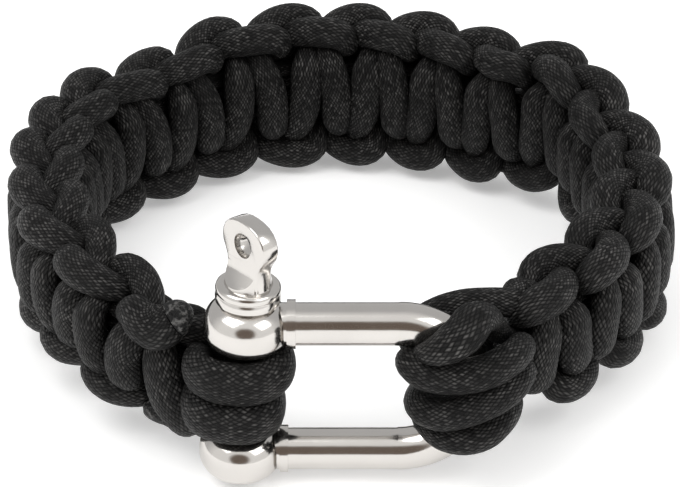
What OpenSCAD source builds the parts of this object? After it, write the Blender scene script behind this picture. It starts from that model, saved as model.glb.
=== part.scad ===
/* [Band] */
// Radius of the ring, from its centre to the middle of the band's thickness
ring_r = 34.5; // [34:0.5:37]
// Number of half-knots in the weave
half_knots = 40; // [36:2:40]
// Width of the band over its edge loops, at the back
band_w = 22.1; // [22:0.1:24]
// Width of the band next to the shackle
end_w = 19; // [18.5:0.5:21]
// Thickness of the band over the strands that cross it
band_t = 10.5; // [10.4:0.1:11.5]

/* [Cord] */
// Diameter of the working strands, pulled tight
cord_d = 3.7; // [3.4:0.1:3.8]
// Width of the four core strands side by side
core_w = 6.2; // [5.6:0.1:6.4]
// Thickness of a core strand
core_t = 2.9; // [2.4:0.1:3]
// Height of a cord loop that is pressed flat round the pin
loop_h = 4.6; // [4:0.1:4.7]
// Thickness of that loop
loop_t = 2.7; // [2.2:0.1:2.8]

/* [Shackle] */
// Diameter of the round bar
bar_d = 4.4; // [4:0.1:4.8]
// Clear width between the two arms
inside_w = 10.8; // [10.8:0.1:12]
// Length from the pin's axis to the start of the bow
arm_l = 15.8; // [14:0.2:19]
// Diameter of an ear
ear_d = 8.7; // [8.2:0.1:9.4]
// Height of an ear
ear_h = 5.5; // [5.2:0.1:5.8]
// How far the shackle's plane lies outside the ring
shackle_out = 1.3; // [1:0.1:2.5]
// How much thicker the bow's radius is than the arms'
bow_extra = 0.05; // [0.02:0.01:0.1]
// How far left of the ring's middle the pin's axis crosses the arms' middle
pin_x = 9.3; // [8.8:0.1:10]

/* [Screw pin] */
// Diameter of the shank
pin_d = 4.4; // [4:0.1:4.6]
// Diameter of the collar
collar_d = 6.7; // [6.2:0.1:7.4]
// Height of the collar
collar_h = 2; // [1.6:0.1:2.6]
// Diameter of the round neck below the eye plate
neck_d = 4.6; // [4.2:0.1:5]
// Height over which the neck runs out into the plate
neck_h = 2.2; // [1.8:0.1:2.6]
// Width of the round eye plate
eye_d = 6; // [5.4:0.1:6.6]
// Thickness of the eye plate
eye_t = 2.1; // [1.8:0.1:2.6]
// Diameter of the hole in the eye plate
eye_hole_d = 2.6; // [2:0.1:3]
// Height of that hole above the collar
eye_rise = 4.5; // [4.2:0.1:5.4]
// Turn of the eye plate away from the band's plane
eye_turn = 50; // [0:5:90]
// Lean of the pin to the right at its top, degrees
pin_lean = 3.5; // [0:0.5:4]
// Depth of the grooves and steps turned into the collar and the arms
step = 0.3; // [0.2:0.05:0.4]

/* [Fits] */
// Gap between the pin and the ears' holes, all round
pin_gap = 0.1; // [0.05:0.05:0.2]
// Gap between pieces that lie against each other
gap = 0.12; // [0.05:0.01:0.2]
// Distance from the bow to the first crossing strand
bow_space = 3.2; // [2:0.2:5]
// Distance from the pin's axis to the last crossing strand
pin_space = 7; // [6.4:0.2:8]

/* [Hidden] */
$fn = 48;
steel = "#c9c6c1";
cord_black = "#1b1b1d";
melted = "#77767a";
// Sides of a cord's tube
sides = 8;
cord_r = cord_d / 2;
bar_r = bar_d / 2;
pin_r = pin_d / 2;
ear_r = ear_d / 2;
collar_r = collar_d / 2;
eye_r = eye_d / 2;
band_z = band_w / 2;
bow_x = arm_l - pin_x;
bow_r = (inside_w + bar_d) / 2;
pass_n = band_t / 2 - cord_r;
slot_h = core_w / 4;
// Shift that brings the middle of the part's footprint over the origin
shackle_y = ring_r + shackle_out;
ring_y = shackle_out / 2 + 0.4;
weave_start = 180 - asin((bow_x + bow_r + bar_r + bow_space) / ring_r);
weave_end = asin((pin_x + pin_space) / ring_r) - 180;
// The half-knots come in pairs
knots = 2 * round(half_knots / 2);
knot_turn = (weave_start - weave_end) / (knots - 1);
// Angles from the back where the core strands end, just outside the weave
core_start = weave_start + 1;
core_end = weave_end - 1.6;

// One half-knot of a working strand, from its crossing to the next one.
// along: share of the half-knot pitch; across: share of the reach to the band's edge;
// through: share of the crossing's height, plus on the strand's own face;
// thick: share of the cord's radius; flat: width over thickness
// along, across, through, thick, flat
half_knot = [
    [-0.02, 0.38, 0.94, 0.94, 1.18],
    [-0.12, 0.56, 0.34, 0.68, 1.00],
    [-0.28, 0.65, -0.34, 0.66, 1.00],
    [0.00, 0.94, -0.88, 0.96, 1.00],
    [0.58, 1.00, -0.76, 1.00, 1.00],
    [1.12, 0.88, -0.22, 0.76, 1.00],
    [1.36, 0.70, 0.36, 0.72, 1.00],
    [1.18, 0.40, 0.92, 0.94, 1.18]];

// The end of the outer strand, in the same columns: up inside the band, over its upper edge,
// down its outer face and back below its lower edge; then the melted tip
outer_end = [
    [0.02, -0.82, -0.92, 0.92, 1.00],
    [0.20, -0.40, -0.98, 0.92, 1.10],
    [0.22, 0.05, -1.00, 0.92, 1.10],
    [0.16, 0.42, -0.92, 0.88, 1.10],
    [-0.02, 0.64, -0.50, 0.70, 1.00],
    [-0.16, 0.62, 0.10, 0.66, 1.00],
    [-0.12, 0.50, 0.66, 0.76, 1.00],
    [-0.02, 0.28, 0.94, 0.90, 1.15],
    [0.04, -0.06, 1.00, 0.92, 1.15],
    [0.18, -0.46, 0.92, 0.92, 1.10],
    [0.38, -0.80, 0.62, 0.92, 1.00],
    [0.42, -1.00, 0.12, 0.88, 1.00],
    [0.24, -1.06, -0.10, 0.84, 1.00],
    [-0.02, -1.06, 0.06, 0.84, 1.00]];
outer_tip = [
    [-0.10, -1.06, 0.12, 0.86, 1.00],
    [-0.28, -1.05, 0.26, 0.88, 1.05],
    [-0.46, -1.02, 0.40, 0.60, 1.05]];
// The end of the inner strand: over the last crossing but one to the upper edge; then its tip
inner_end = [
    [-0.02, 0.38, 0.94, 0.94, 1.18],
    [-0.12, 0.56, 0.34, 0.68, 1.00],
    [-0.28, 0.65, -0.34, 0.66, 1.00],
    [-0.06, 0.88, -0.88, 0.90, 1.05],
    [0.28, 0.82, -1.18, 0.98, 1.15],
    [0.68, 0.84, -1.12, 1.04, 1.20],
    [0.98, 0.96, -0.92, 1.02, 1.20]];
inner_tip = [
    [1.06, 1.00, -0.87, 1.02, 1.20],
    [1.26, 1.07, -0.76, 0.98, 1.20],
    [1.44, 1.11, -0.66, 0.66, 1.15]];

// Routes round the shackle, chosen by hand. The places are from the bow's centre or the
// pin's axis at the arms' middle: right, front to back, up, half width, half height
// From the core over the upper bend, down in front of it, through the window and back over the top
upper_lead = [
    [12.1, 6.60, 2.33, 1.35, 0.70], [11.3, 5.00, 3.10, 1.30, 0.85],
    [10.7, 3.40, 4.70, 1.25, 1.10], [10.0, 1.70, 6.70, 1.20, 1.20],
    [9.00, -0.10, 8.50, 1.30, 1.30], [7.90, -2.30, 9.40, 1.50, 1.45],
    [6.50, -4.00, 8.90, 1.70, 1.60], [4.90, -4.40, 7.70, 1.70, 1.55],
    [3.20, -4.20, 6.60, 1.60, 1.35], [1.60, -3.60, 5.80, 1.20, 1.00],
    [0.40, -2.70, 5.20, 1.00, 0.85], [-0.30, -1.20, 4.60, 0.95, 0.85],
    [-0.30, 0.40, 4.40, 0.95, 0.85], [0.10, 2.30, 4.60, 1.00, 0.95],
    [1.40, 3.90, 5.90, 1.30, 1.35], [4.20, 4.60, 7.30, 1.55, 1.55],
    [8.20, 4.90, 7.80, 1.60, 1.55], [11.9, 6.10, 7.90, 1.50, 1.45]];
// The same round the lower bend
lower_lead = [
    [12.1, 6.60, -2.33, 1.35, 0.70], [11.4, 5.20, -2.50, 1.30, 0.80],
    [11.6, 3.60, -2.90, 1.30, 1.00], [12.1, 1.20, -3.10, 1.30, 1.10],
    [11.4, -1.40, -3.20, 1.40, 1.25], [9.60, -3.30, -3.50, 1.50, 1.40],
    [7.20, -4.10, -4.00, 1.60, 1.45], [4.90, -3.90, -4.40, 1.45, 1.30],
    [3.00, -2.90, -4.60, 1.20, 1.05], [1.60, -1.50, -4.35, 0.90, 0.85],
    [1.20, 0.30, -4.00, 0.85, 0.80], [1.60, 2.80, -4.75, 1.10, 1.05],
    [4.00, 4.20, -6.20, 1.50, 1.50], [7.00, 5.00, -7.40, 1.60, 1.60]];
// The middle of the cord, hitched on the bow: in front of it, through the window and down behind
// it, then the same way back below
bight = [
    [12.1, 6.60, 0.78, 1.35, 0.70], [11.6, 5.20, 1.00, 1.30, 0.80],
    [12.0, 3.40, 1.90, 1.25, 1.00], [12.4, 1.20, 3.20, 1.30, 1.25],
    [11.9, -1.20, 4.20, 1.45, 1.45], [10.3, -3.20, 4.30, 1.60, 1.60],
    [7.90, -4.20, 3.80, 1.70, 1.70], [5.00, -4.30, 3.40, 1.75, 1.70],
    [2.90, -3.60, 3.10, 1.70, 1.60], [1.80, -2.20, 2.80, 1.60, 1.50],
    [1.80, 0.00, 2.30, 1.60, 1.40], [3.00, 2.90, 2.50, 1.50, 1.60],
    [6.00, 4.20, 2.70, 1.50, 1.50], [8.60, 4.90, 1.60, 1.30, 1.30],
    [8.60, 4.90, -1.20, 1.30, 1.30], [6.00, 4.20, -2.20, 1.50, 1.50],
    [3.20, 2.90, -2.00, 1.50, 1.50], [2.30, 0.00, -1.75, 1.60, 1.30],
    [2.60, -2.60, -1.20, 1.60, 1.40], [4.60, -4.00, -0.70, 1.70, 1.50],
    [7.40, -4.30, -0.30, 1.70, 1.55], [10.2, -3.30, 0.40, 1.60, 1.45],
    [12.0, -1.20, 0.60, 1.40, 1.20], [12.4, 1.20, 0.10, 1.30, 1.05],
    [12.0, 3.60, -0.50, 1.25, 0.90], [11.4, 5.20, -0.80, 1.30, 0.75],
    [12.1, 6.60, -0.78, 1.35, 0.70]];
// From the core in front of the pin to its axis, and from its axis back to the core
pin_front = [
    [-5.70, 4.70, 0.78, 1.35, 0.70], [-4.90, 3.90, 0.80, 1.30, 0.75],
    [-4.70, 2.40, 1.30, 1.30, 1.20], [-4.80, 0.60, 1.90, 1.35, 1.75],
    [-4.50, -1.50, 2.30, 1.35, 2.20], [-2.70, -3.10, 2.40, 1.35, 2.30]];
pin_back = [
    [-2.30, 4.10, 2.50, 1.35, 2.00], [-4.20, 4.60, 2.70, 1.30, 1.00],
    [-5.70, 4.70, 2.33, 1.35, 0.70]];

function unit(v) = v / norm(v);
function clamp(v, low, high) = min(high, max(low, v));

// Width of the band at an angle from the back
function width_at(turn) =
    let (t = clamp((abs(turn) - 40) / 110, 0, 1)) band_w + (end_w - band_w) * t * t;

// A point of the band: angle from the back, height across it, distance through it
function band_point(turn, across, through) =
    [(ring_r + through) * sin(turn), (ring_r + through) * cos(turn) + ring_y, band_z + across];

// The way out of the core at such a point
function band_out(turn, across, through) =
    let (past = across - clamp(across, -core_w / 2, core_w / 2))
    unit([through * sin(turn), through * cos(turn), past]);

// A section of a working strand in half-knot k: centre, way up, half width, half thickness.
// side is 1 for the strand that crosses the outer face, -1 for the inner face
function knot_row(side, k, row) =
    let (
        turn = weave_start - (k + row[0]) * knot_turn,
        hand = side * (k % 2 == 0 ? -1 : 1),
        across = hand * row[1] * (width_at(turn) / 2 - cord_r),
        through = side * row[2] * pass_n,
        thick = cord_r * row[3] * width_at(turn) / band_w)
    [band_point(turn, across, through), band_out(turn, across, through),
        thick * row[4] * (1 + through / ring_r), thick];

// The weave of one strand, from the edge loop before its first crossing
function weave_rows(side, first) = [
    for (r = [first : 7]) knot_row(side, -1, half_knot[r]),
    for (k = [0 : knots - 3]) for (row = half_knot) knot_row(side, k, row)];

// The outer strand's last half-knot but one, and its end
function outer_end_rows() = [
    for (r = [0 : 4]) knot_row(1, knots - 2, half_knot[r]),
    for (row = outer_end) knot_row(1, knots - 1, row)];

// Sections of a route round the bow
function bow_rows(route) = [
    for (p = route) [[bow_x + p[0], p[1] + ring_y - shackle_y, band_z + p[2]], [0, 0, 1], p[3], p[4]]];

// Sections of the loop round the pin at one level: 1 for the upper loop, -1 for the lower one
function pin_rows(level) =
    let (
        lift = loop_h / 2 + gap / 2,
        turn_r = (pin_r + gap + loop_t / 2) / cos(15),
        shift = level * lift * tan(pin_lean) - pin_x)
    [for (p = concat(
            pin_front,
            [for (a = [-90 : 30 : 90]) [turn_r * cos(a), turn_r * sin(a), lift, loop_t / 2, loop_h / 2]],
            pin_back))
        [[shift + p[0], p[1] + ring_y - shackle_y, band_z + level * p[2]], [0, 0, 1], p[3], p[4]]];

// A direction without its part along the way
function level(v, way) = unit(v - way * (v * way));

// Seams of a tube: the first way up, carried along from ring to ring without a twist
function seams(rows, ways) = [
    for (i = 0, up = level(rows[0][1], ways[0]);
        i < len(rows);
        i = i + 1, up = level(up, ways[min(i, len(rows) - 1)]))
        up];

// An oval ring whose thickness lies along the row's way up; its points start at the seam
function section(row, way, seam) =
    let (
        high = level(row[1], way),
        wide = cross(way, high),
        side_seam = cross(way, seam))
    [for (i = [0 : sides - 1])
        let (
            out = seam * cos(360 * i / sides) - side_seam * sin(360 * i / sides),
            reach = 1 / norm([out * wide / row[2], out * high / row[3]]))
        row[0] + out * reach];

// A tube through rows of centre, way up, half width and half thickness
module tube(rows) {
    last = len(rows) - 1;
    ways = [for (i = [0 : last]) unit(rows[min(i + 1, last)][0] - rows[max(i - 1, 0)][0])];
    ups = seams(rows, ways);
    points = [for (i = [0 : last]) each section(rows[i], ways[i], ups[i])];
    walls = [for (i = [0 : last - 1]) for (j = [0 : sides - 1])
        let (a = i * sides + j, b = i * sides + (j + 1) % sides)
        each [[a, b, b + sides], [a, b + sides, a + sides]]];
    start = [for (j = [sides - 1 : -1 : 0]) j];
    end = [for (j = [0 : sides - 1]) last * sides + j];
    polyhedron(points, concat([start], walls, [end]));
}

// The strand that crosses the outer face, from the core, round the bow and along the band
module outer_strand() {
    color(cord_black) tube(concat(bow_rows(upper_lead), weave_rows(1, 5), outer_end_rows()));
}

module inner_strand() {
    color(cord_black)
    tube(concat(
        bow_rows(lower_lead), weave_rows(-1, 4),
        [for (row = inner_end) knot_row(-1, knots - 2, row)]));
}

// Four strands side by side inside the weave
module core_strands() {
    strand_r = slot_h / 2 - gap / 2;
    spread = core_t / 2 - strand_r;
    color(cord_black)
    for (slot = [-1.5 : 1 : 1.5])
        translate([0, ring_y, 0])
        rotate([0, 0, 90 - core_start])
        rotate_extrude(angle = core_start - core_end)
        translate([ring_r, band_z + slot * slot_h]) {
            square([2 * spread, 2 * strand_r], center = true);
            for (way = [-1, 1]) translate([way * spread, 0]) circle(r = strand_r);
        }
}

// The middle of the cord, hitched round the bow
module bow_loop() {
    color(cord_black) tube(bow_rows(bight));
}

module pin_loops() {
    color(cord_black) for (level = [-1, 1]) tube(pin_rows(level));
}

module upper_cord_end() {
    color(melted) tube([for (row = inner_tip) knot_row(-1, knots - 2, row)]);
}

module lower_cord_end() {
    color(melted) tube([for (row = outer_tip) knot_row(1, knots - 1, row)]);
}

// Places its children at the shackle's middle, where the pin crosses between the arms
module at_shackle() {
    translate([-pin_x, ring_y - shackle_y, band_z]) children();
}

// A flattened ball round the pin
module ear() {
    round_r = 0.46 * ear_h;
    rotate_extrude() intersection() {
        translate([0, -ear_h / 2]) square([ear_r, ear_h]);
        union() {
            translate([0, -ear_h / 2]) square([ear_r - round_r, ear_h]);
            translate([0, round_r - ear_h / 2]) square([ear_r, ear_h - 2 * round_r]);
            for (way = [-1, 1])
                translate([ear_r - round_r, way * (ear_h / 2 - round_r)]) circle(r = round_r);
        }
    }
}

module arm(way) {
    shift = way * bow_r * tan(pin_lean);
    ridge_x = ear_r - step;
    translate([0, 0, way * bow_r]) {
        translate([shift, 0, 0]) rotate([0, pin_lean, 0]) ear();
        translate([shift, 0, 0]) rotate([0, 90, 0]) cylinder(r = bar_r, h = arm_l - shift + 0.1);
        translate([shift + ridge_x, 0, 0]) rotate([0, 90, 0]) cylinder(r = bar_r + step, h = 3 * step);
    }
}

module shackle_body() {
    reach = 2 * bow_r + 2 * ear_h;
    color(steel)
    at_shackle()
    difference() {
        union() {
            arm(1);
            arm(-1);
            translate([arm_l, 0, 0]) rotate([90, 90, 0]) rotate_extrude(angle = 180)
                translate([bow_r, 0]) circle(r = bar_r + bow_extra);
        }
        rotate([0, pin_lean, 0]) cylinder(r = pin_r + pin_gap, h = reach, center = true);
    }
}

// The eye plate, from the collar up
module eye_plate() {
    neck_r = neck_d / 2;
    rotate([0, 0, -eye_turn])
    difference() {
        union() {
            rotate([90, 0, 0]) linear_extrude(eye_t, center = true) {
                translate([0, eye_rise]) circle(r = eye_r);
                translate([-neck_r, 0]) square([2 * neck_r, eye_rise]);
            }
            cylinder(r1 = neck_r + step, r2 = eye_t / 2, h = neck_h);
        }
        translate([0, 0, eye_rise]) rotate([90, 0, 0]) cylinder(d = eye_hole_d, h = 2 * neck_r, center = true);
    }
}

module screw_pin() {
    half = bow_r + ear_h / 2;
    seat = half + gap;
    color(steel)
    at_shackle()
    rotate([0, pin_lean, 0]) {
        translate([0, 0, step - half]) cylinder(r = pin_r, h = seat + half);
        translate([0, 0, seat]) rotate_extrude() polygon([
            [0, 0], [collar_r - step, 0], [collar_r - step / 2, step / 2],
            [collar_r - step / 2, collar_h / 2 - step / 2], [collar_r - step, collar_h / 2],
            [collar_r, collar_h / 2 + step / 2], [collar_r, collar_h - step],
            [collar_r - step, collar_h], [0, collar_h]]);
        translate([0, 0, seat + collar_h]) eye_plate();
    }
}

shackle_body();
screw_pin();
outer_strand();
inner_strand();
core_strands();
bow_loop();
pin_loops();
upper_cord_end();
lower_cord_end();
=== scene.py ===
import math

import bpy
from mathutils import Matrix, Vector


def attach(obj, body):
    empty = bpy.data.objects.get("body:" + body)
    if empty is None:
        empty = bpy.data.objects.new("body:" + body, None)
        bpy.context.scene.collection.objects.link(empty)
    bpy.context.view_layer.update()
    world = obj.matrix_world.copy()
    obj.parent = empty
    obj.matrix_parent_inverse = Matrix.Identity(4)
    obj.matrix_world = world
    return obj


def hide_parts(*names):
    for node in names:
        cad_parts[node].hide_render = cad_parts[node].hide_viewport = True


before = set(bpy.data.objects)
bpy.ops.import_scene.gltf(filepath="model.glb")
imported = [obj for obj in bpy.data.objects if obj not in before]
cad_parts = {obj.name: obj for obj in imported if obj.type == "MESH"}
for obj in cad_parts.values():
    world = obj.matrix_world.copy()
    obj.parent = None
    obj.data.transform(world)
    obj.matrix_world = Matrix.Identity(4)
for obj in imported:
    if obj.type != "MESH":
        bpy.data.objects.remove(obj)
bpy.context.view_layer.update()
mm = 0.001

# Camera
cameraPlan = {
    "place": (0.53, -212.67, 130.69),  # mm
    "tilt": 60,  # degrees from straight down
    "lens": 111.0,
    "sensor": 36.0,
    "nearest": 10,  # mm
}


def makeCamera(plan):
    data = bpy.data.cameras.new("camera")
    data.lens = plan["lens"]
    data.sensor_width = plan["sensor"]
    data.clip_start = plan["nearest"] * mm
    camera = bpy.data.objects.new("camera", data)
    bpy.context.scene.collection.objects.link(camera)
    camera.location = [value * mm for value in plan["place"]]
    camera.rotation_euler = (math.radians(plan["tilt"]), 0, 0)
    bpy.context.scene.camera = camera


makeCamera(cameraPlan)
print("camera set")

# Node helpers


def newMaterial(name):
    material = bpy.data.materials.new(name)
    material.use_nodes = True
    tree = material.node_tree
    tree.nodes.clear()
    shader = tree.nodes.new("ShaderNodeBsdfPrincipled")
    output = tree.nodes.new("ShaderNodeOutputMaterial")
    tree.links.new(shader.outputs[0], output.inputs[0])
    return material, tree, shader


def mathNode(tree, operation, first, second=None, third=None):
    node = tree.nodes.new("ShaderNodeMath")
    node.operation = operation
    for index, value in enumerate((first, second, third)):
        if value is None:
            continue
        if isinstance(value, (int, float)):
            node.inputs[index].default_value = value
        else:
            tree.links.new(value, node.inputs[index])
    return node.outputs[0]


def noiseNode(tree, vector, scale, detail=2.0, rough=0.5):
    node = tree.nodes.new("ShaderNodeTexNoise")
    node.inputs["Scale"].default_value = scale
    node.inputs["Detail"].default_value = detail
    node.inputs["Roughness"].default_value = rough
    tree.links.new(vector, node.inputs["Vector"])
    return node.outputs["Fac"]


def rampNode(tree, value, stops):
    node = tree.nodes.new("ShaderNodeValToRGB")
    ramp = node.color_ramp
    while len(ramp.elements) < len(stops):
        ramp.elements.new(0.5)
    for element, (place, colour) in zip(ramp.elements, stops):
        element.position = place
        element.color = (*colour, 1)
    tree.links.new(value, node.inputs[0])
    return node.outputs[0]


def mixColour(tree, share, first, second):
    node = tree.nodes.new("ShaderNodeMix")
    node.data_type = "RGBA"
    sockets = node.inputs[0], node.inputs[6], node.inputs[7]
    for socket, value in zip(sockets, (share, first, second)):
        if isinstance(value, (int, float)):
            socket.default_value = value
        elif isinstance(value, tuple):
            socket.default_value = (*value, 1)
        else:
            tree.links.new(value, socket)
    return node.outputs[2]


def bumpNode(tree, height, strength, distance):
    node = tree.nodes.new("ShaderNodeBump")
    node.inputs["Strength"].default_value = strength
    node.inputs["Distance"].default_value = distance
    tree.links.new(height, node.inputs["Height"])
    return node.outputs[0]


# Braided nylon
braid = {
    "yarnsRound": 26,  # diamonds round the cord
    "yarnLength": 0.72,  # mm along the cord for one diamond
    "endFall": 0.35,  # how softly a yarn dips under the next
    "filaments": 30.0,  # radians of wave, which is about 5 filaments to a yarn
    "filamentHeight": 0.06,  # of the yarn's own
    # painted shade at the yarns' sides and in the gaps between them
    "dark": (0.001, 0.001, 0.001),
    "yarn": (0.0056, 0.0053, 0.0052),
    "yarnSpread": 0.7,  # less spreads the yarn's colour into the painted shade of the gaps
    # painted glint: a pale colour on the yarns' crowns in place of the light they catch
    "paintedGlint": (0.150, 0.146, 0.141),
    "glintCentre": 2.0,  # more keeps a painted glint to the yarn's middle
    "glintRare": 1.5,  # more makes bright painted glints rarer
    "patchScale": 260.0,
    "patchDetail": 3.0,
    "patchGain": 1.4,
    "patchBase": -0.2,
    "roughness": 0.5,
    "specular": 0.13,
    "bump": 0.9,
    "depth": 0.12,  # mm
}


def makeCordMaterial(plan):
    material, tree, shader = newMaterial("braidedNylon")
    uv = tree.nodes.new("ShaderNodeTexCoord").outputs["UV"]
    split = tree.nodes.new("ShaderNodeSeparateXYZ")
    tree.links.new(uv, split.inputs[0])
    along = mathNode(tree, "DIVIDE", split.outputs[0], plan["yarnLength"])
    around = mathNode(tree, "MULTIPLY", split.outputs[1], plan["yarnsRound"])
    cells, domes, fibres = [], [], []
    # The yarns wind round the cord to the right and to the left
    for operation in ("ADD", "SUBTRACT"):
        place = mathNode(tree, operation, along, around)
        part = mathNode(tree, "FRACT", place)
        cells.append(mathNode(tree, "FLOOR", place))
        domes.append(mathNode(tree, "SINE", mathNode(tree, "MULTIPLY", part, math.pi)))
        fibres.append(mathNode(tree, "SINE", mathNode(tree, "MULTIPLY", place, plan["filaments"])))
    # Which yarn lies on top in this diamond
    rightTop = mathNode(tree, "PINGPONG", mathNode(tree, "ADD", cells[0], cells[1]), 1.0)
    leftTop = mathNode(tree, "SUBTRACT", 1.0, rightTop)
    topDomes, topFibres = [], []
    for way, top in enumerate((rightTop, leftTop)):
        fall = mathNode(tree, "POWER", domes[1 - way], plan["endFall"])
        topDomes.append(mathNode(tree, "MULTIPLY", mathNode(tree, "MULTIPLY", domes[way], fall), top))
        topFibres.append(mathNode(tree, "MULTIPLY", fibres[way], top))
    dome = mathNode(tree, "ADD", *topDomes)
    fibre = mathNode(tree, "ADD", *topFibres)
    # Each diamond gets a painted glint of its own strength, in place of the light it catches
    cell = tree.nodes.new("ShaderNodeCombineXYZ")
    tree.links.new(cells[0], cell.inputs[0])
    tree.links.new(cells[1], cell.inputs[1])
    chance = tree.nodes.new("ShaderNodeTexWhiteNoise")
    chance.noise_dimensions = "2D"
    tree.links.new(cell.outputs[0], chance.inputs["Vector"])
    glint = mathNode(tree, "POWER", chance.outputs["Value"], plan["glintRare"])
    middle = mathNode(tree, "POWER", dome, plan["glintCentre"])
    # The painted glints are weaker along some stretches of the cord, which look duller
    objectPlace = tree.nodes.new("ShaderNodeTexCoord").outputs["Object"]
    patch = noiseNode(tree, objectPlace, plan["patchScale"], plan["patchDetail"])
    patchShare = mathNode(tree, "MULTIPLY_ADD", patch, plan["patchGain"], plan["patchBase"])
    paintedGlintShare = mathNode(tree, "MULTIPLY", mathNode(tree, "MULTIPLY", middle, glint), patchShare)
    # Painted shade darkens each yarn's sides and the gaps between the yarns
    base = mixColour(tree, mathNode(tree, "POWER", dome, plan["yarnSpread"]), plan["dark"], plan["yarn"])
    # Painted glints lighten the yarns' crowns
    colour = mixColour(tree, paintedGlintShare, base, plan["paintedGlint"])
    tree.links.new(colour, shader.inputs["Base Color"])
    height = mathNode(tree, "ADD", dome, mathNode(tree, "MULTIPLY", fibre, plan["filamentHeight"]))
    tree.links.new(bumpNode(tree, height, plan["bump"], plan["depth"] * mm), shader.inputs["Normal"])
    shader.inputs["Roughness"].default_value = plan["roughness"]
    shader.inputs["Specular IOR Level"].default_value = plan["specular"]
    return material


cordMaterial = makeCordMaterial(braid)

# Cord shapes, in mm, with angles in degrees from the back of the ring
band = {
    "ringRadius": 34.5,  # to the core
    "ringY": 1.05,
    "middleZ": 11.05,
    "width": 21.4,
    "endWidth": 17.6,
    "evenUntil": 15,  # degrees to each side of the back
    "narrowAt": 150,  # where it has its end width
    "passHeight": 3.4,  # from the core's middle to the crossing cord's
    "halfKnots": 40,
    "weaveStart": 145.6,  # by the bow
    "weaveEnd": -151.8,  # by the pin
    "outerRow": 10,  # row of the half-knot that each strand comes in at
    "innerRow": 12,
    "coreWidth": 6.2,
    "cordRadius": 1.85,
}
# How the soft band departs from an even ring, at degrees from the back: outwards,
# lower edge outwards and upper edge inwards, up, narrower, and slid along the ring in degrees
bandShape = [
    (-160, 0.0, 0.0, 0.2, 0.6, 0.0),
    (-148, 0.0, 0.0, 0.3, 1.2, 0.0),
    (-138, -0.2, 0.0, 0.7, 2.4, 0.0),
    (-128, -1.2, 0.0, 1.1, 1.9, 0.0),
    (-115, -1.1, 0.0, 0.8, 1.2, 0.0),
    (-100, -1.7, 0.0, 0.3, 0.2, 0.0),
    (-80, -1.0, 0.0, 0.1, 0.0, -1.0),
    (-60, -0.6, 0.0, 0.2, 0.4, -4.0),
    (-42, -1.1, 0.0, -0.6, 1.5, -2.5),
    (-25, 0.1, 0.0, 0.1, 0.4, -1.5),
    (-5, 0.3, 0.0, 0.3, 0.0, 0.0),
    (20, -0.1, 0.3, 0.3, 0.5, -2.0),
    (40, -0.4, 0.8, 0.3, 0.6, -3.0),
    (54, 1.5, 1.0, 1.7, 0.4, -3.5),
    (70, -0.3, 0.8, 0.5, 1.0, -3.0),
    (85, -0.2, 0.7, 0.3, 1.0, -1.5),
    (105, -0.2, 0.5, 0.1, 0.3, -1.0),
    (130, -0.4, 0.0, 0.5, 1.1, 0.0),
    (146, -0.1, 0.0, 0.5, 1.2, 0.0),
]
shackle = {
    "bowX": 6.5,  # right of the middle
    "pinX": 9.3,  # left of it
    "planeY": -34.75,
    "lean": 3.5,  # degrees that the pin's top leans to the right
    "pinRadius": 2.2,
}

# One half-knot from the middle of a crossing to the next one: half-knots along the band,
# shares of its half width across and of the pass height through, half width, half thickness
halfKnot = [
    (0.00, 0.00, 0.98, 2.30, 1.75),
    (-0.02, 0.22, 0.96, 2.32, 1.75),
    (-0.03, 0.42, 0.90, 2.20, 1.72),
    (-0.08, 0.56, 0.52, 1.70, 1.55),
    (-0.18, 0.62, 0.02, 1.45, 1.38),
    (-0.32, 0.73, -0.40, 1.55, 1.50),
    (-0.22, 0.88, -0.66, 1.95, 1.88),
    (0.08, 0.955, -0.74, 2.08, 2.00),
    (0.44, 0.965, -0.70, 2.10, 2.02),
    (0.78, 0.945, -0.52, 2.04, 1.96),
    (1.08, 0.90, -0.26, 1.92, 1.84),
    (1.28, 0.83, 0.02, 1.70, 1.62),
    (1.34, 0.70, 0.34, 1.64, 1.54),
    (1.26, 0.55, 0.68, 1.85, 1.62),
    (1.16, 0.38, 0.90, 2.15, 1.72),
    (1.07, 0.20, 0.96, 2.30, 1.75),
]
# The outer strand's end goes up inside, over the upper edge, down the outer face and back
# below the lower edge
outerEnd = [
    (0.02, -0.82, -0.92, 1.75, 1.70),
    (0.20, -0.40, -0.98, 2.00, 1.70),
    (0.22, 0.05, -1.00, 2.05, 1.70),
    (0.16, 0.42, -0.92, 1.85, 1.60),
    (-0.02, 0.64, -0.50, 1.40, 1.35),
    (-0.16, 0.62, 0.10, 1.30, 1.25),
    (-0.12, 0.50, 0.66, 1.60, 1.45),
    (-0.02, 0.28, 0.94, 2.10, 1.65),
    (0.10, -0.06, 1.06, 2.40, 1.80),
    (0.26, -0.46, 1.08, 2.40, 1.85),
    (0.42, -0.82, 0.90, 2.10, 1.80),
    (0.34, -1.06, 0.50, 1.75, 1.65),
    (0.10, -1.12, 0.26, 1.65, 1.58),
    (-0.18, -1.08, 0.28, 1.62, 1.58),
]
outerTip = [
    (-0.18, -1.08, 0.28, 1.57, 1.53),
    (-0.36, -1.05, 0.36, 1.66, 1.56),
    (-0.54, -1.02, 0.46, 1.50, 1.38),
    (-0.66, -1.00, 0.53, 1.05, 1.00),
    (-0.72, -0.99, 0.56, 0.40, 0.40),
]
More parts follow.
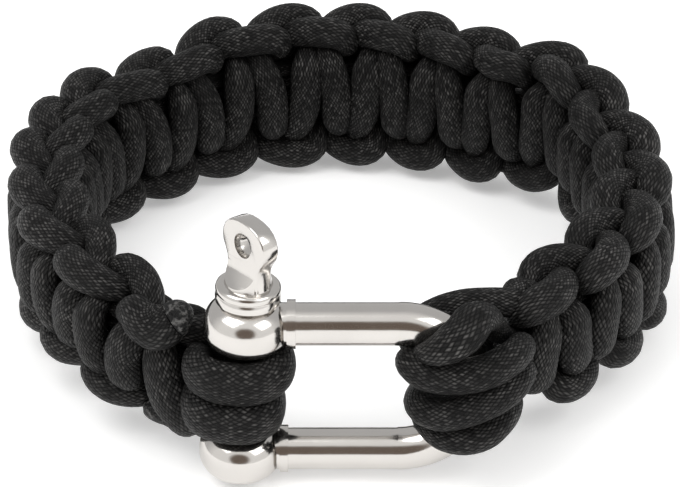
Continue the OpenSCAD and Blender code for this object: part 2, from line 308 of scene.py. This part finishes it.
# The inner strand's end goes over the crossing before that, and out at the upper edge
innerEnd = [
    (-0.16, 0.68, -0.38, 1.35, 1.30),
    (0.08, 0.82, -0.70, 1.65, 1.55),
    (0.42, 0.98, -0.98, 1.95, 1.80),
    (0.72, 0.90, -1.14, 2.25, 1.90),
    (1.00, 0.88, -1.14, 2.45, 1.95),
    (1.22, 0.95, -1.06, 2.35, 1.90),
    (1.36, 1.04, -0.95, 2.15, 1.75),
]
innerTip = [
    (1.36, 1.04, -0.95, 2.11, 1.70),
    (1.45, 1.10, -0.86, 2.05, 1.50),
    (1.53, 1.14, -0.78, 1.80, 1.15),
    (1.60, 1.17, -0.71, 1.35, 0.80),
    (1.65, 1.19, -0.67, 0.80, 0.50),
    (1.67, 1.20, -0.65, 0.30, 0.20),
]

# Routes round the shackle, from the bow's centre or the pin's axis: right, back, up,
# half width and half height of the cord
upperLead = [
    (13.6, 7.80, 2.33, 1.35, 0.70), (12.1, 6.60, 2.33, 1.35, 0.75), (11.3, 5.00, 3.10, 1.30, 0.95),
    (10.4, 3.40, 4.40, 1.35, 1.15), (9.60, 2.00, 6.00, 1.45, 1.35), (8.80, 0.60, 7.80, 1.60, 1.50),
    (8.10, -1.00, 9.00, 1.85, 1.65), (7.20, -2.60, 9.60, 2.10, 1.80), (6.30, -3.80, 9.00, 2.20, 1.90),
    (4.90, -4.30, 8.00, 2.20, 1.85), (3.50, -4.00, 7.00, 1.85, 1.50), (2.60, -3.00, 6.20, 1.30, 1.05),
    (2.10, -1.80, 5.40, 0.98, 0.84), (1.70, -0.60, 4.80, 0.86, 0.78), (1.10, 0.80, 4.40, 0.92, 0.84),
    (1.00, 2.30, 4.50, 1.15, 1.05), (1.80, 3.60, 5.40, 1.40, 1.35), (4.00, 4.30, 6.50, 1.50, 1.45),
    (6.60, 4.70, 7.10, 1.55, 1.50), (9.20, 5.20, 7.00, 1.55, 1.50), (11.6, 5.90, 6.60, 1.60, 1.55),
]
lowerLead = [
    (13.6, 7.80, -2.33, 1.35, 0.70), (12.1, 6.60, -2.33, 1.35, 0.75), (11.4, 5.20, -2.40, 1.30, 0.90),
    (11.2, 3.60, -2.50, 1.30, 1.10), (11.5, 1.20, -2.20, 1.35, 1.25), (11.2, -0.80, -2.00, 1.50, 1.40),
    (10.2, -2.80, -2.20, 1.65, 1.55), (8.60, -4.10, -2.90, 1.75, 1.65), (6.60, -4.30, -3.40, 1.75, 1.65),
    (4.80, -3.70, -3.70, 1.50, 1.45), (3.50, -2.60, -3.80, 1.20, 1.15), (2.60, -1.20, -3.80, 0.95, 0.88),
    (2.20, 0.40, -3.80, 0.90, 0.85), (2.40, 2.60, -4.60, 1.20, 1.15), (4.20, 4.20, -6.00, 1.55, 1.50),
    (6.80, 5.20, -6.60, 1.70, 1.65), (9.60, 6.40, -6.30, 1.70, 1.65), (12.0, 7.80, -5.70, 1.65, 1.60),
]
bightRoute = [
    (13.6, 7.80, 0.78, 1.35, 0.70), (12.1, 6.60, 0.78, 1.35, 0.75), (11.6, 5.20, 1.30, 1.35, 0.90),
    (12.0, 3.60, 2.60, 1.40, 1.20), (12.4, 1.40, 4.10, 1.45, 1.45), (12.1, -0.80, 5.10, 1.55, 1.65),
    (10.9, -2.80, 5.20, 1.70, 1.75), (8.60, -4.20, 4.70, 1.80, 1.80), (6.00, -4.50, 4.25, 1.80, 1.80),
    (3.80, -4.10, 4.10, 1.80, 1.85), (2.20, -3.20, 4.10, 1.70, 1.90), (1.20, -1.90, 4.15, 1.60, 1.80),
    (1.05, -0.50, 3.60, 1.42, 1.45), (1.70, 0.80, 2.80, 1.45, 1.45), (3.20, 2.80, 2.50, 1.60, 1.60),
    (6.00, 4.20, 2.70, 1.60, 1.60), (8.60, 4.90, 1.60, 1.40, 1.40),
    (8.60, 4.90, -1.20, 1.40, 1.40), (6.00, 4.20, -2.20, 1.60, 1.60), (3.20, 2.90, -2.00, 1.60, 1.60),
    (2.20, 0.60, -1.60, 1.55, 1.45), (2.10, -1.20, -1.20, 1.60, 1.55), (2.80, -2.90, -0.90, 1.75, 1.65),
    (4.30, -4.10, -0.50, 1.80, 1.75), (6.40, -4.60, 0.25, 1.80, 1.75), (9.20, -4.20, 1.25, 1.75, 1.70),
    (11.4, -2.80, 2.10, 1.65, 1.60), (12.4, -0.80, 2.30, 1.50, 1.40), (12.5, 1.40, 1.40, 1.40, 1.20),
    (12.0, 3.60, 0.00, 1.35, 0.95), (11.5, 5.20, -0.70, 1.35, 0.80), (12.1, 6.60, -0.78, 1.35, 0.75),
    (13.6, 7.80, -0.78, 1.35, 0.70),
]
pinFront = [
    (-7.00, 5.60, 0.78, 1.35, 0.70), (-5.70, 4.70, 0.80, 1.35, 0.80), (-4.90, 3.90, 0.90, 1.35, 0.90),
    (-4.80, 2.40, 1.60, 1.45, 1.60), (-4.90, 0.60, 2.15, 1.50, 2.15), (-4.50, -1.60, 2.36, 1.58, 2.38),
    (-2.70, -3.20, 2.40, 1.55, 2.42),
]
pinBack = [
    (-2.30, 4.10, 2.50, 1.50, 2.35), (-4.10, 4.50, 3.10, 1.60, 2.30), (-5.70, 4.70, 3.20, 1.50, 1.70),
    (-7.00, 5.60, 2.33, 1.35, 0.70),
]


def shapeAt(turn):
    before, after = next(
        (pair for pair in zip(bandShape, bandShape[1:]) if turn <= pair[1][0]), bandShape[-2:])
    share = min(max((turn - before[0]) / (after[0] - before[0]), 0), 1)
    return [a + (b - a) * share for a, b in zip(before[1:], after[1:])]


def widthAt(turn):
    share = min(max((abs(turn) - band["evenUntil"]) / (band["narrowAt"] - band["evenUntil"]), 0), 1)
    return band["width"] + (band["endWidth"] - band["width"]) * share - shapeAt(turn)[3]


def bandPoint(turn, across, through):
    outwards, lean, up = shapeAt(turn)[:3]
    angle = math.radians(turn)
    radius = band["ringRadius"] + through + outwards - lean * 2 * across / band["width"]
    height = band["middleZ"] + across + up
    return Vector((radius * math.sin(angle), radius * math.cos(angle) + band["ringY"], height))


# The way that a cord's flat side faces: straight out of the core, and round its two edges
def bandOut(turn, across, through):
    angle = math.radians(turn)
    half = band["coreWidth"] / 2
    past = across - min(max(across, -half), half)
    return Vector((through * math.sin(angle), through * math.cos(angle), past)).normalized()


def knotRow(side, knot, row):
    step = (band["weaveStart"] - band["weaveEnd"]) / (band["halfKnots"] - 1)
    turn = band["weaveStart"] - (knot + row[0]) * step
    turn += shapeAt(turn)[4]
    hand = side * (-1 if knot % 2 == 0 else 1)
    across = hand * row[1] * (widthAt(turn) / 2 - band["cordRadius"])
    through = side * row[2] * band["passHeight"]
    # The cord is a little thinner where the band is narrower
    tight = 0.5 + 0.5 * widthAt(turn) / band["width"]
    wide = row[3] * tight * (1 + through / band["ringRadius"])
    return bandPoint(turn, across, through), bandOut(turn, across, through), wide, row[4] * tight


def weaveRows(side, firstRow):
    rows = [knotRow(side, -1, row) for row in halfKnot[firstRow:]]
    for knot in range(band["halfKnots"] - 2):
        rows += [knotRow(side, knot, row) for row in halfKnot]
    return rows


# The strand keeps to its last half-knot as far as the edge loop, then goes its own way
def outerEndRows():
    last = band["halfKnots"] - 1
    rows = [knotRow(1, last - 1, row) for row in halfKnot[:9]]
    return rows + [knotRow(1, last, row) for row in outerEnd]


# The strand turns off before its last edge loop
def innerEndRows():
    return [knotRow(-1, band["halfKnots"] - 2, row) for row in halfKnot[:5] + innerEnd]


def bowRows(route):
    centre = Vector((shackle["bowX"], shackle["planeY"], band["middleZ"]))
    return [(centre + Vector(row[:3]), Vector((0, 0, 1)), row[3], row[4]) for row in route]


pinLoop = {
    "lift": 2.38,  # each loop's middle above or below the arms' middle
    "raised": 0.4,  # both loops
    "halfWidth": 1.44,
    "halfHeight": 2.42,
    "clearance": 0.12,  # to the pin
    "press": 0.06,  # how much fuller the cord is, against the pin and outwards
    "squeeze": 0.4,  # how much thinner the lower loop is on its right
}


def pinRows(level):
    ring = []
    # Round the right of the pin, from the front to the back
    for turn in range(-90, 91, 20):
        angle = math.radians(turn)
        squeeze = pinLoop["squeeze"] * math.cos(angle) ** 2 if level < 0 else 0
        half = pinLoop["halfWidth"] - squeeze
        radius = shackle["pinRadius"] + pinLoop["clearance"] + half
        place = radius * math.cos(angle), radius * math.sin(angle), pinLoop["lift"]
        ring.append((*place, half + pinLoop["press"], pinLoop["halfHeight"]))
    shift = level * pinLoop["lift"] * math.tan(math.radians(shackle["lean"])) - shackle["pinX"]
    middle = Vector((shift, shackle["planeY"], band["middleZ"] + pinLoop["raised"]))
    return [
        (middle + Vector((row[0], row[1], level * row[2])), Vector((0, 0, 1)), row[3], row[4])
        for row in pinFront + ring + pinBack]


# Points on a smooth curve through the rows, about a step apart
def smoothRows(rows, step):
    flat = [tuple(place) + tuple(up) + (wide, thick) for place, up, wide, thick in rows]
    flat = [flat[0]] + flat + [flat[-1]]
    result = []
    for i in range(1, len(flat) - 2):
        before, here, there, after = flat[i - 1:i + 3]
        length = math.dist(here[:3], there[:3])
        back = max(math.dist(before[:3], here[:3]), 1e-6) if i > 1 else length
        ahead = max(math.dist(there[:3], after[:3]), 1e-6) if i < len(flat) - 3 else length
        count = max(1, round(length / step))
        a, b, c = back ** 0.5, length ** 0.5, ahead ** 0.5
        for j in range(count):
            t = j / count
            point = []
            for k in range(8):
                p0 = before[k] if i > 1 else 2 * here[k] - there[k]
                p3 = after[k] if i < len(flat) - 3 else 2 * there[k] - here[k]
                p1, p2 = here[k], there[k]
                m1 = (p1 - p0) / a - (p2 - p0) / (a + b) + (p2 - p1) / b
                m2 = (p2 - p1) / b - (p3 - p1) / (b + c) + (p3 - p2) / c
                m1, m2 = m1 * b, m2 * b
                square, cube = t * t, t * t * t
                point.append(
                    (2 * cube - 3 * square + 1) * p1 + (cube - 2 * square + t) * m1
                    + (3 * square - 2 * cube) * p2 + (cube - square) * m2)
            result.append(point)
    result.append(list(flat[-1]))
    return [(Vector(p[:3]), Vector(p[3:6]), p[6], p[7]) for p in result]


# A closed tube along the rows, with its UV map: mm along the cord and the share round it
def makeTube(rows, sides=16, step=0.6):
    rings = smoothRows(rows, step)
    last = len(rings) - 1
    ways = [
        (rings[min(i + 1, last)][0] - rings[max(i - 1, 0)][0]).normalized() for i in range(last + 1)]
    seam = (rings[0][1] - ways[0] * rings[0][1].dot(ways[0])).normalized()
    points, lengths, total = [], [], 0.0
    for i, (centre, up, wide, thick) in enumerate(rings):
        way = ways[i]
        seam = (seam - way * seam.dot(way)).normalized()
        other = way.cross(seam)
        high = up - way * up.dot(way)
        high = high.normalized() if high.length > 1e-4 else seam
        across = way.cross(high)
        if i:
            total += (centre - rings[i - 1][0]).length
        lengths.append(total)
        for j in range(sides):
            angle = 2 * math.pi * j / sides
            out = seam * math.cos(angle) + other * math.sin(angle)
            reach = 1 / math.hypot(out.dot(across) / wide, out.dot(high) / thick)
            points.append((centre + out * reach) * mm)
    faces, uvs = [], []
    for i in range(last):
        for j in range(sides):
            a, b = i * sides + j, i * sides + (j + 1) % sides
            faces.append((a, b, b + sides, a + sides))
            low, high, here, there = j / sides, (j + 1) / sides, lengths[i], lengths[i + 1]
            uvs += [(here, low), (here, high), (there, high), (there, low)]
    faces.append(tuple(range(sides - 1, -1, -1)))
    uvs += [(0.0, 0.0)] * sides
    faces.append(tuple(last * sides + j for j in range(sides)))
    uvs += [(total, 0.0)] * sides
    return points, faces, uvs, total


def tubeObject(name, tubes, material):
    points, faces, uvs = [], [], []
    for tubePoints, tubeFaces, tubeUvs, length in tubes:
        start = len(points)
        points += tubePoints
        faces += [tuple(start + corner for corner in face) for face in tubeFaces]
        uvs += tubeUvs
        print(name, "cord length", round(length), "mm")
    mesh = bpy.data.meshes.new(name)
    mesh.from_pydata(points, [], faces)
    layer = mesh.uv_layers.new(name="cordMap")
    layer.data.foreach_set("uv", [value for pair in uvs for value in pair])
    mesh.polygons.foreach_set("use_smooth", [len(face) == 4 for face in faces])
    mesh.materials.append(material)
    piece = bpy.data.objects.new(name, mesh)
    bpy.context.scene.collection.objects.link(piece)
    return piece


outerRows = bowRows(upperLead) + weaveRows(1, band["outerRow"]) + outerEndRows()
innerRows = bowRows(lowerLead) + weaveRows(-1, band["innerRow"]) + innerEndRows()
outerCord = tubeObject("outerCord", [makeTube(outerRows)], cordMaterial)
innerCord = tubeObject("innerCord", [makeTube(innerRows)], cordMaterial)
bowCord = tubeObject("bowCord", [makeTube(bowRows(bightRoute))], cordMaterial)
pinCords = tubeObject("pinCords", [makeTube(pinRows(level)) for level in (-1, 1)], cordMaterial)

core = {
    "strands": 4,
    "pitch": 1.74,  # from strand to strand
    "halfWidth": 0.88,
    "halfThick": 1.45,
    "start": 147,  # degrees from the back
    "end": -153,
    "rowStep": 5,
    "sides": 10,
    "ringStep": 1.5,
}


def makeCore(plan):
    tubes = []
    for strand in range(plan["strands"]):
        across = (strand - (plan["strands"] - 1) / 2) * plan["pitch"]
        rows = [
            (bandPoint(turn, across, 0), bandOut(turn, 0, 1), plan["halfWidth"], plan["halfThick"])
            for turn in range(plan["start"], plan["end"] - 1, -plan["rowStep"])]
        tubes.append(makeTube(rows, plan["sides"], plan["ringStep"]))
    return tubeObject("coreCords", tubes, cordMaterial)


coreCords = makeCore(core)
print("cords made")

# Melted nylon at the two cut ends
melted = {
    # pale grey of the painted highlights on the glossy melted nylon, whose own colour is black
    "colour": (0.110, 0.108, 0.105),
    "dark": (0.0015, 0.0015, 0.0015),
    "darkUntil": 0.50,  # of the noise
    "paleFrom": 0.64,
    "grain": 1700.0,
    "detail": 4.0,
    "uneven": 0.6,
    "bump": 1.0,
    "depth": 0.7,  # mm
    "roughness": 0.35,
    "specular": 0.25,
    "sides": 24,
    "ringStep": 0.25,  # mm
}


def makeMeltedMaterial(plan):
    material, tree, shader = newMaterial("meltedNylon")
    place = tree.nodes.new("ShaderNodeTexCoord").outputs["Object"]
    grain = noiseNode(tree, place, plan["grain"], plan["detail"], plan["uneven"])
    # The pale streaks are painted highlights; the dark stops are the melted nylon's own black
    stops = [(plan["darkUntil"], plan["dark"]), (plan["paleFrom"], plan["colour"])]
    tree.links.new(rampNode(tree, grain, stops), shader.inputs["Base Color"])
    tree.links.new(bumpNode(tree, grain, plan["bump"], plan["depth"] * mm), shader.inputs["Normal"])
    shader.inputs["Roughness"].default_value = plan["roughness"]
    shader.inputs["Specular IOR Level"].default_value = plan["specular"]
    return material


meltedMaterial = makeMeltedMaterial(melted)


def makeTip(name, rows):
    return tubeObject(name, [makeTube(rows, melted["sides"], melted["ringStep"])], meltedMaterial)


upperTip = makeTip("upperTip", [knotRow(-1, band["halfKnots"] - 2, row) for row in innerTip])
lowerTip = makeTip("lowerTip", [knotRow(1, band["halfKnots"] - 1, row) for row in outerTip])
print("melted ends made")

# Steel
steel = {
    "colour": (0.60, 0.578, 0.552),
    "shade": 0.94,  # the colour's darker share
    "shadeEdges": (0.3, 0.7),  # of the cloudy noise
    "cloud": 180.0,
    "cloudDetail": 3.0,
    "grain": 2600.0,
    "grainHeight": 0.08,  # of the cloud's own
    "bump": 0.25,
    "depth": 0.15,  # mm
    "roughness": 0.14,
    "roughSpread": 0.06,  # up and down
}


def makeSteelMaterial(plan):
    material, tree, shader = newMaterial("polishedSteel")
    place = tree.nodes.new("ShaderNodeTexCoord").outputs["Object"]
    cloud = noiseNode(tree, place, plan["cloud"], plan["cloudDetail"])
    grain = noiseNode(tree, place, plan["grain"])
    spread = plan["roughSpread"]
    rough = mathNode(tree, "MULTIPLY_ADD", cloud, 2 * spread, plan["roughness"] - spread)
    tree.links.new(rough, shader.inputs["Roughness"])
    shade = tuple(value * plan["shade"] for value in plan["colour"])
    stops = list(zip(plan["shadeEdges"], (shade, plan["colour"])))
    tree.links.new(rampNode(tree, cloud, stops), shader.inputs["Base Color"])
    height = mathNode(tree, "ADD", cloud, mathNode(tree, "MULTIPLY", grain, plan["grainHeight"]))
    tree.links.new(bumpNode(tree, height, plan["bump"], plan["depth"] * mm), shader.inputs["Normal"])
    shader.inputs["Metallic"].default_value = 1.0
    return material


steelMaterial = makeSteelMaterial(steel)


def deselectAll():
    if bpy.context.mode != "OBJECT":
        bpy.ops.object.mode_set(mode="OBJECT")
    bpy.ops.object.select_all(action="DESELECT")


def selectOnly(piece):
    deselectAll()
    piece.select_set(True)
    bpy.context.view_layer.objects.active = piece


# The piece takes a modifier, which is applied at once
def addAndApply(piece, kind, **values):
    modifier = piece.modifiers.new(kind.lower(), kind)
    for key, value in values.items():
        setattr(modifier, key, value)
    selectOnly(piece)
    bpy.ops.object.modifier_apply(modifier=modifier.name)


def cutOrJoin(piece, other, operation):
    addAndApply(piece, "BOOLEAN", object=other, operation=operation, solver="EXACT")
    bpy.data.objects.remove(other, do_unlink=True)


def setMaterial(piece, material):
    piece.data.materials.clear()
    piece.data.materials.append(material)


# All faces outwards, and back to object mode
def finishShape():
    bpy.ops.mesh.select_all(action="SELECT")
    bpy.ops.mesh.normals_make_consistent(inside=False)
    bpy.ops.object.mode_set(mode="OBJECT")


# A turned shape: a disc that is pulled up and scaled from one radius and height to the next
def turnedPiece(name, profile, vertices=96):
    deselectAll()
    radius, height = profile[0]
    bpy.ops.mesh.primitive_circle_add(
        vertices=vertices, radius=radius * mm, fill_type="NGON", location=(0, 0, height * mm))
    piece = bpy.context.active_object
    piece.name = name
    bpy.ops.object.transform_apply()
    bpy.ops.object.mode_set(mode="EDIT")
    bpy.ops.mesh.select_all(action="SELECT")
    for (before, low), (after, high) in zip(profile, profile[1:]):
        bpy.ops.mesh.extrude_region_move(TRANSFORM_OT_translate={"value": (0, 0, (high - low) * mm)})
        share = after / before
        bpy.ops.transform.resize(value=(share, share, 1), center_override=(0, 0, high * mm))
    finishShape()
    return piece


# A cylinder whose axis lies along x or y, to cut with
def rodPiece(name, radius, length, place, axis):
    deselectAll()
    turn = (0, math.pi / 2, 0) if axis == "x" else (math.pi / 2, 0, 0)
    bpy.ops.mesh.primitive_cylinder_add(
        vertices=64, radius=radius * mm, depth=length * mm,
        location=[value * mm for value in place], rotation=turn)
    piece = bpy.context.active_object
    piece.name = name
    bpy.ops.object.transform_apply()
    return piece


def smoothEdges(piece, width, segments, angle, smooth=32):
    addAndApply(piece, "BEVEL", width=width * mm, segments=segments, limit_method="ANGLE",
                angle_limit=math.radians(angle), harden_normals=False)
    selectOnly(piece)
    bpy.ops.object.shade_smooth_by_angle(angle=math.radians(smooth))


screwPin = {
    "tip": 9.9,  # from the arms' middle down to the tip
    "seat": 10.47,  # from the arms' middle up to the collar
    "collarRadius": 3.3,
    "collarHeight": 2.0,
    "collarMiddle": 0.4,  # radius of its top's middle face, under the eye plate
    "collarSmooth": 40,  # degrees
    "eyeThick": 1.95,
    "hole": 1.3,
    "holeRise": 4.5,
    "drillLength": 8,
    "turn": 50,  # degrees
    "waist": 2.35,  # radius of the round neck
    "flare": 0.2,  # the neck's wider foot
    "flareHeight": 0.15,
    "sunk": 0.2,  # the neck's foot below the collar's top
    "scoop": 2.4,  # radius of the flats' run-out
    "scoopLength": 12,
    "outlineBevel": (0.2, 3, 50),  # mm, segments, degrees
    "lastBevel": (0.1, 2, 40),
}

# The pin's tip: radius less, height above its lowest point
tipSteps = [(0.5, 0.0), (0.1, 0.15), (0.0, 0.5)]
# The collar with its groove: radius less, height above the seat
collarFoot = [
    (0.2, 0.0), (0.04, 0.12), (0.0, 0.3), (0.0, 0.8), (0.1, 0.96), (0.12, 1.06), (0.02, 1.18),
]
# Its upper edge: radius less, height below the top
collarEdge = [(0.0, 0.5), (0.1, 0.2), (0.3, 0.04), (0.5, 0.0)]
# Half of the eye plate's outline, from the neck up: half width, height
eyeOutline = [
    (2.30, -0.20), (2.30, 1.80), (2.40, 2.50), (2.72, 3.15), (3.10, 3.80), (3.28, 4.50),
    (3.22, 5.20), (2.95, 5.85), (2.45, 6.40), (1.75, 6.80), (0.90, 7.02), (0.00, 7.08),
]


# The flat head with its eye: a round neck that two flats run out of, and a plate with a hole
def makeEyePlate(plan):
    half = plan["eyeThick"] / 2
    deselectAll()
    corners = eyeOutline + [(-wide, high) for wide, high in reversed(eyeOutline[:-1])]
    bpy.ops.mesh.primitive_circle_add(
        vertices=len(corners), radius=mm, fill_type="NGON", location=(0, 0, 0))
    head = bpy.context.active_object
    head.name = "eyePlate"
    for vertex, (wide, high) in zip(head.data.vertices, corners):
        vertex.co = (wide * mm, -half * mm, high * mm)
    bpy.ops.object.mode_set(mode="EDIT")
    bpy.ops.mesh.select_all(action="SELECT")
    bpy.ops.mesh.extrude_region_move(TRANSFORM_OT_translate={"value": (0, 2 * half * mm, 0)})
    finishShape()
    smoothEdges(head, *plan["outlineBevel"])
    reach, waist = plan["scoop"], plan["waist"]
    neck = turnedPiece("neck", [
        (waist + plan["flare"], -plan["sunk"]), (waist, plan["flareHeight"]), (waist, reach)])
    for way in (-1, 1):
        scoop = rodPiece("scoop", reach, plan["scoopLength"], (0, way * (half + reach), reach), "x")
        cutOrJoin(neck, scoop, "DIFFERENCE")
    cutOrJoin(head, neck, "UNION")
    drill = rodPiece("drill", plan["hole"], plan["drillLength"], (0, 0, plan["holeRise"]), "y")
    cutOrJoin(head, drill, "DIFFERENCE")
    smoothEdges(head, *plan["lastBevel"])
    selectOnly(head)
    head.rotation_euler = (0, 0, -math.radians(plan["turn"]))
    bpy.ops.object.transform_apply()
    return head


def makeScrewPin(plan):
    radius, collar, seat = shackle["pinRadius"], plan["collarRadius"], plan["seat"]
    top = seat + plan["collarHeight"]
    profile = [(radius - less, rise - plan["tip"]) for less, rise in tipSteps] + [(radius, seat)]
    profile += [(collar - less, seat + rise) for less, rise in collarFoot]
    profile += [(collar - less, top - fall) for less, fall in collarEdge]
    profile.append((plan["collarMiddle"], top))
    shank = turnedPiece("screwPin", profile)
    selectOnly(shank)
    bpy.ops.object.shade_smooth_by_angle(angle=math.radians(plan["collarSmooth"]))
    head = makeEyePlate(plan)
    selectOnly(head)
    head.location = (0, 0, top * mm)
    bpy.ops.object.transform_apply()
    selectOnly(shank)
    head.select_set(True)
    bpy.ops.object.join()
    # The pin leans with the shackle, then goes to its place
    shank.rotation_euler = (0, math.radians(shackle["lean"]), 0)
    bpy.ops.object.transform_apply()
    shank.location = (-shackle["pinX"] * mm, shackle["planeY"] * mm, band["middleZ"] * mm)
    bpy.ops.object.transform_apply()
    setMaterial(shank, steelMaterial)
    return shank


pinPiece = makeScrewPin(screwPin)
# The shackle is the solid itself
setMaterial(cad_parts["shackle_body"], steelMaterial)
print("steel finished")

# Floor and light, in metres, watts and shares of full brightness
studio = {
    "floorSize": 4,
    "floor": (0.95, 0.95, 0.95),
    "floorRoughness": 0.8,
    "glow": 0.3,  # a light table's own light
    "lights": [  # name, place, size, power
        ("keyLight", (-0.25, -0.15, 0.5), 0.35, 1.3),
        ("fillLight", (0.35, -0.2, 0.4), 0.3, 0.8),
    ],
    "front": (0.92, 0.915, 0.905),
    "back": (0.55, 0.55, 0.55),
    "greyFrom": (0.38, 0.62),  # where the front's white ends and the back's grey begins
    "dark": (0.17, 0.135, 0.112),  # the dark side of the room, seen in the steel
    "darkWay": (0.0, -0.94, 0.34),
    "darkEdges": (0.86, 0.95),  # cosines of the patch's outer and inner edge
    "strength": 1.15,
}


# Soft white all round, greyer behind, with one dark warm patch in front
def makeWorld(plan):
    world = bpy.data.worlds.new("studio")
    bpy.context.scene.world = world
    world.use_nodes = True
    tree = world.node_tree
    background = tree.nodes["Background"]
    way = tree.nodes.new("ShaderNodeTexCoord").outputs["Generated"]
    split = tree.nodes.new("ShaderNodeSeparateXYZ")
    tree.links.new(way, split.inputs[0])
    frontToBack = mathNode(tree, "MULTIPLY_ADD", split.outputs[1], 0.5, 0.5)
    sky = rampNode(tree, frontToBack, list(zip(plan["greyFrom"], (plan["front"], plan["back"]))))
    dot = tree.nodes.new("ShaderNodeVectorMath")
    dot.operation = "DOT_PRODUCT"
    dot.inputs[1].default_value = plan["darkWay"]
    tree.links.new(way, dot.inputs[0])
    patch = tree.nodes.new("ShaderNodeMapRange")
    patch.interpolation_type = "SMOOTHSTEP"
    patch.inputs["From Min"].default_value = plan["darkEdges"][0]
    patch.inputs["From Max"].default_value = plan["darkEdges"][1]
    tree.links.new(dot.outputs["Value"], patch.inputs["Value"])
    tree.links.new(mixColour(tree, patch.outputs[0], sky, plan["dark"]), background.inputs[0])
    background.inputs[1].default_value = plan["strength"]


def makeStudio(plan):
    deselectAll()
    bpy.ops.mesh.primitive_plane_add(size=plan["floorSize"], location=(0, 0, 0))
    floor = bpy.context.active_object
    floor.name = "floor"
    material, tree, shader = newMaterial("paleFloor")
    shader.inputs["Base Color"].default_value = (*plan["floor"], 1)
    shader.inputs["Roughness"].default_value = plan["floorRoughness"]
    shader.inputs["Emission Color"].default_value = (1, 1, 1, 1)
    shader.inputs["Emission Strength"].default_value = plan["glow"]
    floor.data.materials.append(material)
    makeWorld(plan)
    for name, place, size, power in plan["lights"]:
        data = bpy.data.lights.new(name, "AREA")
        data.size = size
        data.energy = power
        light = bpy.data.objects.new(name, data)
        bpy.context.scene.collection.objects.link(light)
        light.location = place
        # Each light looks at the origin
        light.rotation_euler = (-Vector(place)).to_track_quat("-Z", "Y").to_euler()


bpy.context.scene.view_settings.view_transform = "Standard"
makeStudio(studio)
print("studio set")

for piece, nodes, slot in (
        (outerCord, ["outer_strand"], "cord"),
        (innerCord, ["inner_strand"], "cord"),
        (bowCord, ["bow_loop"], "cord"),
        (pinCords, ["pin_loops"], "cord"),
        (coreCords, ["core_strands"], "cord"),
        (upperTip, ["upper_cord_end"], "melted_cord"),
        (lowerTip, ["lower_cord_end"], "melted_cord")):
    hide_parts(*nodes)
    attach(piece, "bracelet")
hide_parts("screw_pin")
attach(pinPiece, "pin")
